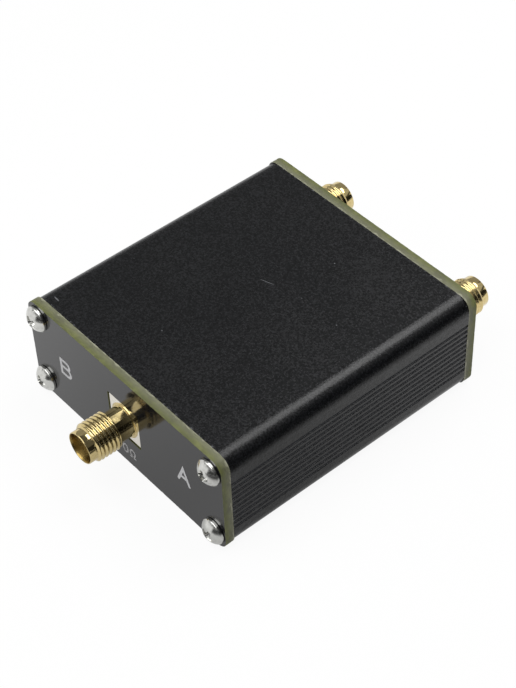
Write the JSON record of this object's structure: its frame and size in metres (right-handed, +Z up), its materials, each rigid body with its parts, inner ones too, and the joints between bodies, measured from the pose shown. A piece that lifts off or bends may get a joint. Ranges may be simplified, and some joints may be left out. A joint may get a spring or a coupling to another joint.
{
  "type": "coaxial antenna switch",
  "caption": "Coaxial antenna switch in a flat extruded aluminium case, with a threaded common socket on the front panel, switched port sockets on the rear and a sealed relay inside.",
  "frame": {"origin": "centre of the bottom of the part, on the surface that it stands on", "axes": "+X to the right seen from the front, +Y from the front panel to the rear panel, +Z up"},
  "size_m": [0.046, 0.0662, 0.0185],
  "materials": {
    "anodised_aluminium": "bead-blasted and anodised black",
    "panel_laminate": "glass-epoxy laminate with a glossy black face and olive sawn edges",
    "nickel_steel": "bright nickel plating",
    "gold_brass": "turned brass with a thin bright gold plating",
    "ptfe": "waxy white fluoropolymer",
    "gold_bronze": "bronze with a gold plating",
    "board_laminate": "glass-epoxy laminate with a green solder mask",
    "tinned_copper": "plated copper foil",
    "solder": "bright tin solder",
    "black_polyester": "satin glass-filled polyester",
    "natural_nylon": "satin natural nylon",
    "enamelled_wire": "enamelled copper wire",
    "soft_iron": "annealed iron with a thin nickel flash",
    "magnet": "ground sintered magnet",
    "terminal_brass": "stamped brass strip",
    "contact_silver": "silver alloy",
    "spring_bronze": "rolled phosphor bronze strip",
    "ferrite": "pressed and sintered ferrite",
    "capacitor_ceramic": "sintered ceramic",
    "resistor_glaze": "black glaze",
    "chip_tin": "matt tin plating",
    "diode_epoxy": "moulded epoxy"
  },
  "bodies": {
    "housing": {"case": "anodised_aluminium", "front_panel": "panel_laminate", "rear_panel": "panel_laminate", "front_panel_screws": "nickel_steel", "rear_panel_screws": "nickel_steel", "common_jack_shell": "gold_brass", "common_jack_insulator": "ptfe", "common_jack_contact": "gold_bronze", "port_a_jack_shell": "gold_brass", "port_a_jack_insulator": "ptfe", "port_a_jack_contact": "gold_bronze", "port_b_jack_shell": "gold_brass", "port_b_jack_insulator": "ptfe", "port_b_jack_contact": "gold_bronze", "circuit_board": "board_laminate", "signal_tracks": "tinned_copper", "ground_plane": "tinned_copper", "jack_solder": "solder", "relay_base": "black_polyester", "relay_cover": "black_polyester", "relay_bobbin": "natural_nylon", "relay_coil": "enamelled_wire", "relay_core": "soft_iron", "relay_magnet": "magnet", "relay_common_terminals": "terminal_brass", "relay_contact_terminals": "terminal_brass", "relay_coil_terminals": "terminal_brass", "relay_fixed_contacts": "contact_silver", "choke_core": "ferrite", "choke_winding": "enamelled_wire", "choke_terminals": "chip_tin", "blocking_capacitors": "capacitor_ceramic", "bypass_capacitors": "capacitor_ceramic", "bias_resistors": "resistor_glaze", "chip_end_caps": "chip_tin", "flyback_diode": "diode_epoxy", "diode_tabs": "chip_tin"},
    "rocker": {"relay_armature": "soft_iron", "relay_contact_carrier": "natural_nylon", "relay_contact_springs": "spring_bronze", "relay_moving_contacts": "contact_silver", "relay_pivot_pins": "terminal_brass"}
  },
  "joints": [
    {"name": "armature_rock", "type": "hinge", "parent": "housing", "child": "rocker", "pos_m": [0, -0.003, 0.01429], "axis": [0, -1, 0], "range_deg": [0, 4.4], "stiffness_Nm_per_rad": 0.001, "springref_deg": -5.73}
  ]
}
